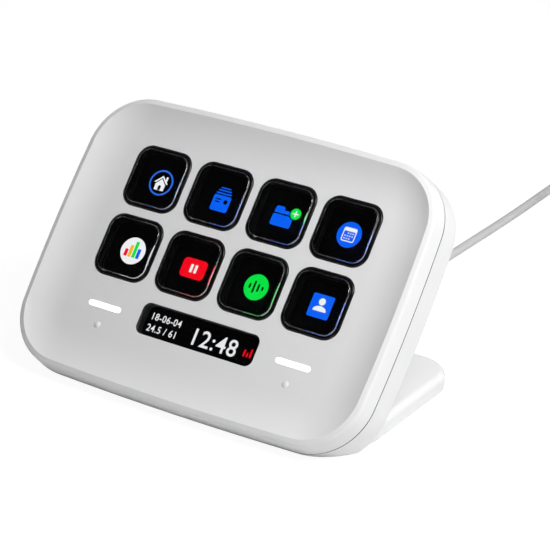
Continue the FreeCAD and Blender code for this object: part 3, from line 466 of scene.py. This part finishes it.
# Painted shade: near black in a band round the joint's groove and on the inner walls of the key and window
# cut-outs.
joint_shade_mask = band(shell_tree, shell_axes.outputs["Z"], -joint_depth * mm, joint_shade_half * mm)
cutout_shade_deep = band(shell_tree, shell_axes.outputs["Z"], (cutout_shade_top + cutout_shade_bottom) / 2 * mm,
                  (cutout_shade_top - cutout_shade_bottom) / 2 * mm)
cutout_shade_fields = []
for (half_x, half_y), middle_y in ((keys_cutout_shade_half, 0.0), (window_cutout_shade_half, window_middle)):
    cutout_shade_wide = band(shell_tree, shell_axes.outputs["X"], 0.0, half_x * mm)
    cutout_shade_high = band(shell_tree, shell_axes.outputs["Y"], middle_y * mm, half_y * mm)
    cutout_shade_fields.append(worked_out(shell_tree, "MULTIPLY", cutout_shade_wide, cutout_shade_high))
cutout_shade_plan = worked_out(shell_tree, "ADD", *cutout_shade_fields)
painted_shade_mask = worked_out(shell_tree, "MULTIPLY_ADD", cutout_shade_plan, cutout_shade_deep, joint_shade_mask)
shell_painted_shade = shell_tree.nodes.new("ShaderNodeMix")
shell_painted_shade.data_type = "RGBA"
shell_painted_shade.inputs["B"].default_value = painted_shade_black
shell_tree.links.new(painted_shade_mask, shell_painted_shade.inputs["Factor"])
shell_tree.links.new(shell_tree.nodes["Group"].outputs["Colour"], shell_painted_shade.inputs["A"])
shell_shader = shell_tree.nodes["Principled BSDF"]
shell_tree.links.new(shell_painted_shade.outputs["Result"], shell_shader.inputs["Base Color"])
dress("front_shell", shell_white)
dress("rear_shell", shell_white)

# Screen
# Liquid-crystal cell of black glass under all the keys and the window, held in a steel tray. Its lit
# pictures lie on the glass, each built up of thin coloured layers.
glass_z = -4.7
key_pitch = (19.58, 19.81)
key_places = [((c - 1.5) * key_pitch[0], (0.5 - r) * key_pitch[1]) for r in range(2) for c in range(4)]


def tilt_into_face(piece):
    """Turn a piece from the flat bench, where it is made, to its place in the tilted face."""
    bpy.ops.object.select_all(action="DESELECT")
    piece.select_set(True)
    bpy.context.view_layer.objects.active = piece
    bpy.ops.object.transform_apply(location=True, rotation=True, scale=True)
    piece.rotation_euler = (face_tilt, 0, 0)
    piece.location = (0, 0, grid_height)
    bpy.ops.object.transform_apply(location=True, rotation=True, scale=True)


display_black = skinned("display_black", (0.003, 0.003, 0.004), 0.2, grains=1500.0, height=0.001,
                        specular=0.15)
dress("lcd_cell", display_black)


def lit_colour(name, colour):
    """Lit pixels: a faint square mesh of pixel rows over an even glow."""
    material = bpy.data.materials.new(name)
    material.use_nodes = True
    tree = material.node_tree
    shader = tree.nodes["Principled BSDF"]
    shader.inputs["Base Color"].default_value = (0.01, 0.01, 0.01, 1)
    shader.inputs["Roughness"].default_value = 0.3
    shader.inputs["Emission Strength"].default_value = 1.0
    place = tree.nodes.new("ShaderNodeTexCoord")
    rows = tree.nodes.new("ShaderNodeTexWave")
    rows.inputs["Scale"].default_value = 1200.0
    tint = tree.nodes.new("ShaderNodeMix")
    tint.data_type = "RGBA"
    tint.inputs["A"].default_value = (*[0.9 * c for c in colour], 1)
    tint.inputs["B"].default_value = (*colour, 1)
    tree.links.new(place.outputs["Object"], rows.inputs["Vector"])
    tree.links.new(rows.outputs["Fac"], tint.inputs["Factor"])
    tree.links.new(tint.outputs["Result"], shader.inputs["Emission Color"])
    return material


pixels = {
    "blue": lit_colour("pixels_blue", (0.0, 0.13, 1.0)),
    "ring": lit_colour("pixels_ring_blue", (0.02, 0.15, 0.80)),
    "white": lit_colour("pixels_white", (1.0, 1.0, 1.0)),
    "green": lit_colour("pixels_green", (0.0, 0.85, 0.06)),
    "red": lit_colour("pixels_red", (1.0, 0.0, 0.01)),
    "amber": lit_colour("pixels_amber", (1.0, 0.55, 0.02)),
    "black": display_black,
}
layer_height = 0.012
picture_size = 0.89
picture_shift = (-0.65, 0.18)
figure_share = 0.69


def layer(shape, colour, level, x, y, w, h, corner=0.0):
    """One layer of a picture on the bench: a disc, a block or a three-cornered flag of w by h mm."""
    z = glass_z + layer_height * (level + 0.5)
    if shape == "block":
        piece = start_block("picture_layer", (x, y, z), (w, h, layer_height))
    else:
        sides = 56 if shape == "disc" else 3
        bpy.ops.object.select_all(action="DESELECT")
        bpy.ops.mesh.primitive_cylinder_add(vertices=sides, radius=0.5, depth=1,
                                            location=(x * mm, y * mm, z * mm),
                                            scale=(w * mm, h * mm, layer_height * mm))
        piece = start_piece("picture_layer")
    if corner:
        round_corners(corner, 6)
    bpy.ops.object.mode_set(mode="OBJECT")
    piece.data.materials.append(pixels[colour])
    return piece


def picture(name, layers, about=None):
    """Join the layers of one picture, bring it to size about its key's place and set it on the screen."""
    bpy.ops.object.select_all(action="DESELECT")
    for part in layers:
        part.select_set(True)
    bpy.context.view_layer.objects.active = layers[0]
    bpy.ops.object.join()
    whole = bpy.context.object
    whole.name = name
    if about:
        x, y = [a * (1 - picture_size) + shift for a, shift in zip(about, picture_shift)]
        whole.scale = (picture_size, picture_size, 1)
        whole.location = (x * mm, y * mm, 0)
    tilt_into_face(whole)
    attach(whole, "housing")


def ring(colour, level, x, y, outer, inner):
    """Two layers of a picture that show a ring: a disc, and a smaller black one on it."""
    return [layer("disc", colour, level, x, y, outer, outer),
            layer("disc", "black", level + 1, x, y, inner, inner)]


x, y = key_places[0]
picture("picture_house", ring("ring", 0, x, y, 8.0, 6.9) + [
    layer("block", "white", 2, x + 1.5, y + 1.35, 0.6, 1.5),
    layer("flag", "black", 3, x, y + 0.5, 5.9, 3.7),
    layer("flag", "white", 4, x, y + 0.65, 5.6, 3.1),
    layer("flag", "black", 5, x, y + 0.15, 5.0, 2.9),
    layer("flag", "white", 6, x, y - 0.1, 4.3, 2.6),
    layer("block", "white", 6, x, y - 1.45, 3.3, 1.9, corner=0.15),
    layer("block", "black", 7, x, y - 1.6, 0.95, 1.5, corner=0.35),
], about=(x, y))

x, y = key_places[1]
picture("picture_cards", [
    layer("block", "blue", 0, x, y - 1.2, 5.9, 4.9, corner=0.6),
    layer("block", "blue", 0, x, y + 1.85, 5.2, 0.42, corner=0.12),
    layer("block", "blue", 0, x, y + 2.72, 4.4, 0.38, corner=0.1),
    layer("block", "blue", 0, x, y + 3.5, 3.4, 0.32, corner=0.1),
    layer("disc", "black", 1, x + 1.45, y - 0.55, 1.35, 1.35),
    layer("block", "black", 1, x - 1.15, y - 0.05, 1.9, 0.36, corner=0.12),
    layer("block", "black", 1, x - 1.35, y - 0.85, 1.5, 0.36, corner=0.12),
], about=(x, y))

x, y = key_places[2]
picture("picture_folder", [
    layer("block", "blue", 0, x - 0.6, y - 1.35, 6.7, 3.5, corner=0.55),
    layer("block", "blue", 0, x - 2.2, y + 1.75, 2.9, 2.2, corner=0.55),
    layer("block", "blue", 0, x - 0.7, y + 1.3, 6.1, 1.1, corner=0.3),
    layer("block", "black", 1, x - 0.6, y + 0.65, 7.0, 0.28),
    layer("disc", "black", 2, x + 3.1, y + 1.6, 4.0, 4.0),
    layer("disc", "green", 3, x + 3.1, y + 1.6, 3.4, 3.4),
    layer("block", "white", 4, x + 3.1, y + 1.6, 1.9, 0.36),
    layer("block", "white", 4, x + 3.1, y + 1.6, 0.36, 1.9),
], about=(x, y))

x, y = key_places[3]
picture("picture_calendar", [
    layer("disc", "blue", 0, x, y, 7.7, 7.7),
    layer("block", "white", 1, x, y, 4.2, 4.2, corner=0.6),
    layer("block", "blue", 2, x, y - 0.4, 3.6, 2.8, corner=0.25),
] + [layer("block", "white", 3, x + (c - 1.5) * 0.78, y + 0.4 - r * 0.8, 0.36, 0.36)
     for r in range(3) for c in range(4) if (r, c) not in ((0, 0), (2, 3))], about=(x, y))

x, y = key_places[4]
picture("picture_chart", [
    layer("disc", "white", 0, x, y, 8.3, 8.3),
    layer("block", "red", 1, x - 2.1, y - 0.9, 1.1, 2.2, corner=0.15),
    layer("block", "amber", 1, x - 0.7, y - 0.2, 1.1, 3.6, corner=0.15),
    layer("block", "green", 1, x + 0.7, y + 0.5, 1.1, 5.0, corner=0.15),
    layer("block", "blue", 1, x + 2.1, y - 0.5, 1.1, 3.0, corner=0.15),
], about=(x, y))

x, y = key_places[5]
picture("picture_pause", [
    layer("block", "red", 0, x, y, 8.2, 5.9, corner=1.3),
    layer("block", "white", 1, x - 0.75, y, 0.85, 2.5, corner=0.15),
    layer("block", "white", 1, x + 0.75, y, 0.85, 2.5, corner=0.15),
], about=(x, y))

x, y = key_places[6]
picture("picture_level", [
    layer("disc", "green", 0, x, y, 7.8, 7.8),
    layer("block", "black", 1, x - 2.1, y, 0.62, 1.5, corner=0.3),
    layer("block", "black", 1, x - 0.7, y, 0.62, 3.7, corner=0.3),
    layer("block", "black", 1, x + 0.7, y, 0.62, 2.4, corner=0.3),
    layer("block", "black", 1, x + 2.1, y, 0.62, 1.2, corner=0.3),
], about=(x, y))

x, y = key_places[7]
picture("picture_person", [
    layer("block", "blue", 0, x, y, 6.9, 6.9, corner=0.5),
    layer("disc", "white", 1, x, y + 1.35, 2.1, 2.1),
    layer("disc", "white", 1, x, y - 1.25, 4.2, 2.6),
    layer("block", "blue", 2, x, y - 2.15, 5.0, 1.3),
], about=(x, y))


def figures(text, x, y, height, narrow):
    """Plain white figures of a height in mm on the bench, as a mesh of one layer."""
    bpy.ops.object.select_all(action="DESELECT")
    bpy.ops.object.text_add(location=(0, 0, 0))
    words = bpy.context.object
    words.data.body = text
    words.data.size = height * mm / figure_share
    words.data.extrude = layer_height * mm / 2
    words.data.offset = 0.012 * height * mm
    words.data.space_character = 1.08
    words.data.resolution_u = 4
    bpy.ops.object.convert(target="MESH")
    words = bpy.context.object
    words.scale = (narrow, 1, 1)
    words.location = (x * mm, y * mm, (glass_z + layer_height / 2) * mm)
    bpy.ops.object.transform_apply(location=True, rotation=True, scale=True)
    words.data.materials.clear()
    words.data.materials.append(pixels["white"])
    return words


picture("picture_clock", [
    figures("18-06-04", -17.3, -25.6, 1.85, narrow=0.92),
    figures("24.5 / 61", -17.3, -28.8, 1.85, narrow=0.92),
    figures("12:48", -4.1, -28.8, 4.4, narrow=0.97),
    layer("block", "red", 0, 12.9, -26.85, 0.5, 1.8, corner=0.12),
    layer("block", "red", 0, 13.85, -27.15, 0.5, 1.2, corner=0.12),
    layer("block", "red", 0, 14.8, -26.55, 0.5, 2.4, corner=0.12),
])

# Silicone mat
# Moulded sheet of black silicone under the keys, with eight leaning collars that carry the keys and lift
# them again after a press. Here the collars are fixed to the housing and don't fold.
mat_top = -3.9
mat_bottom = -4.4
mat_middle = (mat_top + mat_bottom) / 2
mat_border = 21.4
mat_corner = 2.0
mat_window = 14.6
mat_window_corner = 2.5
mat_lip = 0.08
cutter_height = 2.0
collar_top = -2.65
collar_foot = mat_window + 2.0
collar_lean = 1.0
collar_corner = 3.0
collar_wall = 0.5
mat_silicone = skinned("mat_silicone_black", (0.004, 0.004, 0.004), 0.6, grains=1200.0, height=0.01,
                       specular=0.1)
mat_sheet = start_block("mat_sheet", (0, 0, mat_middle),
                        (3 * key_pitch[0] + mat_border, key_pitch[1] + mat_border, mat_top - mat_bottom))
round_corners(mat_corner, 6)
bpy.ops.object.mode_set(mode="OBJECT")
for x, y in key_places:
    cutter = start_block("mat_window", (x, y, mat_middle), (mat_window, mat_window, cutter_height))
    round_corners(mat_window_corner, 6)
    bpy.ops.object.mode_set(mode="OBJECT")
    window = mat_sheet.modifiers.new("window", "BOOLEAN")
    window.object = cutter
    window.operation = "DIFFERENCE"
    bpy.context.view_layer.objects.active = mat_sheet
    bpy.ops.object.modifier_apply(modifier="window")
    bpy.data.objects.remove(cutter)
bpy.ops.object.select_all(action="DESELECT")
mat_sheet.select_set(True)
soften(mat_sheet, mat_lip, 2, 60)
end_piece(mat_sheet, mat_silicone)
tilt_into_face(mat_sheet)
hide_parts("key_mat")
for number, (x, y) in enumerate(key_places, start=1):
    collar = start_block("key_collar_" + str(number), (x, y, (mat_top + collar_top) / 2),
                         (collar_foot, collar_foot, collar_top - mat_top))
    round_corners(collar_corner, 8)
    pick_faces(lambda middle, normal: normal.z > 0.9)
    bpy.ops.transform.resize(value=(1 - collar_lean / collar_foot, 1 - collar_lean / collar_foot, 1))
    pick_faces(lambda middle, normal: abs(normal.z) > 0.9)
    bpy.ops.mesh.delete(type="FACE")
    thicken(collar, collar_wall)
    end_piece(collar, mat_silicone)
    tilt_into_face(collar)
    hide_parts("key_mat")
    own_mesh(collar)

# Keys
# Eight caps of polished clear acrylic: a dome with a soft edge, a dark ledge round it, sides painted black
# and a flange that keeps the cap behind the face. All come from one mould, so one is made and copied.
cap_size = 17.0
cap_corner = 3.99
cap_proud = 0.8
cap_ledge = 0.75
cap_ledge_top = 0.1
cap_ledge_soft = 0.3
cap_soft = 0.6
flange_top = -1.9
flange_bottom = -2.6
flange_reach = 0.65
# Slack of the tests that pick an edge or a face by its height
slack = 0.01


def clear_plastic(name, colour, haze):
    """Polished clear plastic: plain glass to the shader, with a faint haze in its gloss."""
    material = bpy.data.materials.new(name)
    material.use_nodes = True
    tree = material.node_tree
    shader = tree.nodes["Principled BSDF"]
    shader.inputs["Base Color"].default_value = (*colour, 1)
    shader.inputs["Transmission Weight"].default_value = 1.0
    shader.inputs["IOR"].default_value = 1.49
    place = tree.nodes.new("ShaderNodeTexCoord")
    cloud = tree.nodes.new("ShaderNodeTexNoise")
    cloud.inputs["Scale"].default_value = 90.0
    level = tree.nodes.new("ShaderNodeMapRange")
    level.inputs["To Min"].default_value = haze[0]
    level.inputs["To Max"].default_value = haze[1]
    level.name = "haze"
    tree.links.new(place.outputs["Object"], cloud.inputs["Vector"])
    tree.links.new(cloud.outputs["Fac"], level.inputs["Value"])
    tree.links.new(level.outputs["Result"], shader.inputs["Roughness"])
    return material


key_acrylic = clear_plastic("key_acrylic_clear", (0.97, 0.98, 1.0), (0.0, 0.03))
side_black = skinned("side_paint_black", (0.002, 0.002, 0.002), 0.015, grains=1500.0, height=0.0)

cap = start_block("key_cap", (0, 0, (cap_ledge_top + flange_bottom) / 2),
                  (cap_size, cap_size, cap_ledge_top - flange_bottom))
round_corners(cap_corner, 12)
pick_edges(lambda middle, way: middle.z > (cap_ledge_top - slack) * mm)
bpy.ops.mesh.bevel(offset=cap_ledge_soft * mm, segments=4)
pick_faces(lambda middle, normal: middle.z > (cap_ledge_top - slack) * mm and normal.z > 0.99)
bpy.ops.mesh.inset(thickness=(cap_ledge - cap_ledge_soft) * mm)
cap_rise = (0, 0, (cap_proud - cap_ledge_top) * mm)
bpy.ops.mesh.extrude_region_move(TRANSFORM_OT_translate={"value": cap_rise})
pick_edges(lambda middle, way: middle.z > (cap_proud - slack) * mm)
bpy.ops.mesh.bevel(offset=cap_soft * mm, segments=8)
bpy.ops.mesh.select_all(action="SELECT")
bpy.ops.mesh.bisect(plane_co=(0, 0, flange_top * mm), plane_no=(0, 0, 1))
pick_faces(lambda middle, normal: middle.z < flange_top * mm and abs(normal.z) < 0.1)
bpy.ops.mesh.extrude_region_shrink_fatten(TRANSFORM_OT_shrink_fatten={"value": flange_reach * mm})
bpy.ops.object.mode_set(mode="OBJECT")
bpy.ops.object.shade_smooth_by_angle(angle=math.radians(smooth_angle))
cap.data.materials.append(key_acrylic)
cap.data.materials.append(side_black)
for face in cap.data.polygons:
    painted = face.center.z < (cap_ledge_top + slack) * mm and face.normal.z > -0.9
    face.material_index = int(painted)
for number, (x, y) in enumerate(key_places, start=1):
    key = cap.copy()
    key.data = cap.data.copy()
    key.name = "clear_cap_" + str(number)
    scene.collection.objects.link(key)
    key.location = (x * mm, y * mm, 0)
    tilt_into_face(key)
    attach(key, "key_" + str(number))
    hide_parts("key_cap_" + str(number))
bpy.data.objects.remove(cap)

# Info window
# Clear hard-coated insert with ground and blackened edges, glued behind the face by its flange, and black
# foam frames that seal it and the light bars on the display.
window_tint = (0.9, 0.91, 0.93)
edge_black = (0.0, 0.0, 0.0, 1)
edge_lean = 0.6
window_clear = clear_plastic("window_clear", window_tint, (0.01, 0.03))
pane_tree = window_clear.node_tree
pane_shader = pane_tree.nodes["Principled BSDF"]
pane_side = pane_tree.nodes.new("ShaderNodeNewGeometry")
pane_turn = pane_tree.nodes.new("ShaderNodeVectorTransform")
pane_turn.vector_type = "NORMAL"
pane_turn.convert_from = "WORLD"
pane_turn.convert_to = "OBJECT"
pane_facing = pane_tree.nodes.new("ShaderNodeVectorMath")
pane_facing.operation = "DOT_PRODUCT"
pane_facing.inputs[1].default_value = (0, -math.sin(face_tilt), math.cos(face_tilt))
pane_tree.links.new(pane_side.outputs["True Normal"], pane_turn.inputs[0])
pane_tree.links.new(pane_turn.outputs[0], pane_facing.inputs[0])
edge_mask = band(pane_tree, pane_facing.outputs["Value"], 0.0, edge_lean)
edge_ground = worked_out(pane_tree, "MAXIMUM", edge_mask, pane_tree.nodes["haze"].outputs["Result"])
pane_tint = pane_tree.nodes.new("ShaderNodeMix")
pane_tint.data_type = "RGBA"
pane_tint.inputs["A"].default_value = (*window_tint, 1)
pane_tint.inputs["B"].default_value = edge_black
pane_tree.links.new(edge_mask, pane_tint.inputs["Factor"])
pane_tree.links.new(pane_tint.outputs["Result"], pane_shader.inputs["Base Color"])
pane_tree.links.new(edge_ground, pane_shader.inputs["Roughness"])
dress("info_window", window_clear)
foam_black = skinned("foam_black", (0.01, 0.01, 0.01), 0.95, grains=2600.0, height=0.12)
foam_wall = 1.2
foam_bottom = -4.65
foam_top = -2.40
foam_soft = 0.15
# Length left of a side that two corner arcs would use up, and then welded
seam = 0.001
for name, node, x, y, w, h, corner in (("window_foam", "window_gasket", 0, window_middle, 38.9, 11.27, 3.45),
                                       ("bar_foam_left", "bar_gasket_left", -29.35, -26.6, 13.0, 4.2, 2.1),
                                       ("bar_foam_right", "bar_gasket_right", 29.35, -26.6, 13.0, 4.2, 2.1)):
    foam = start_block(name, (x, y, (foam_top + foam_bottom) / 2), (w, h, foam_top - foam_bottom))
    round_corners(corner - seam, 10)
    pick_faces(lambda middle, normal: abs(normal.z) > 0.9)
    bpy.ops.mesh.delete(type="FACE")
    bpy.ops.mesh.select_all(action="SELECT")
    bpy.ops.mesh.remove_doubles(threshold=2 * seam * mm)
    thicken(foam, foam_wall)
    soften(foam, foam_soft, 3, 60)
    end_piece(foam, foam_black)
    tilt_into_face(foam)
    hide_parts(node)

# Light bars
# Two milky diffusers in moulded polycarbonate, glued behind the face by their flanges and lit from behind.
# The glow is even over their length.
bar_glow = 0.9
bar_milk = skinned("light_bar_milk", (0.9, 0.9, 0.9), 0.4, grains=1500.0, height=0.005)
bar_shader = bar_milk.node_tree.nodes["Principled BSDF"]
bar_shader.inputs["Emission Color"].default_value = (1, 1, 1, 1)
bar_shader.inputs["Emission Strength"].default_value = bar_glow
dress("light_bar_left", bar_milk)
dress("light_bar_right", bar_milk)

# Underside
# Plastic cover plate of the stand, with a rubber pad glued over it, and the screws and the steel ballast
# that it hides.
pad_front_corner = 7.0
pad_rear_corner = 6.35
pad_soft = 0.2
rear_slack = 0.1
dress("base_cover", skinned("cover_plastic_grey", (0.5, 0.5, 0.505), 0.6))
pad_middle, pad_size = middle_and_size("base_pad")
pad_rear = pad_middle[1] + pad_size[1] / 2
rubber_pad = start_block("rubber_pad", pad_middle, pad_size)
pick_edges(lambda middle, way: abs(way.z) > 0.9 and middle.y < pad_middle[1] * mm)
bpy.ops.mesh.bevel(offset=pad_front_corner * mm, segments=12)
pick_edges(lambda middle, way: abs(way.z) > 0.9 and middle.y > (pad_rear - rear_slack) * mm)
bpy.ops.mesh.bevel(offset=pad_rear_corner * mm, segments=12)
soften(rubber_pad, pad_soft, 4, 60)
end_piece(rubber_pad, skinned("pad_rubber_dark", (0.05, 0.05, 0.052), 0.85, grains=1400.0, height=0.06))
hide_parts("base_pad")
screw_steel = skinned("screw_steel", (0.6, 0.6, 0.6), 0.35, grains=4000.0, height=0.01, metallic=1.0)
for node in ("base_screws", "board_screws", "display_screws"):
    dress(node, screw_steel)
plate_steel = skinned("plate_steel", (0.52, 0.52, 0.53), 0.42, grains=1500.0, height=0.01, metallic=1.0)
for node in ("ballast_left", "ballast_right", "display_frame"):
    dress(node, plate_steel)

# Inside
# Printed films, the moulded light guide, the display's ribbon with its clamp, and the circuit board with its
# chips and its socket, all screwed or glued in behind the display.
dress("contact_film", skinned("film_black", (0.004, 0.004, 0.004), 0.5, specular=0.1))
dress("backlight", skinned("light_guide_white", (0.8, 0.8, 0.82), 0.4))
dress("display_flex", skinned("ribbon_amber", (0.45, 0.2, 0.04), 0.4))
dress("touch_film", skinned("film_amber", (0.42, 0.2, 0.05), 0.35))
dress("flex_clamp", skinned("clamp_black", (0.03, 0.03, 0.03), 0.5))
dress("lead_socket", skinned("socket_white", (0.75, 0.74, 0.7), 0.5))
dress("main_board", skinned("board_green", (0.01, 0.12, 0.05), 0.4))
dress("board_chips", skinned("chip_black", (0.015, 0.015, 0.016), 0.45))

bpy.context.view_layer.update()
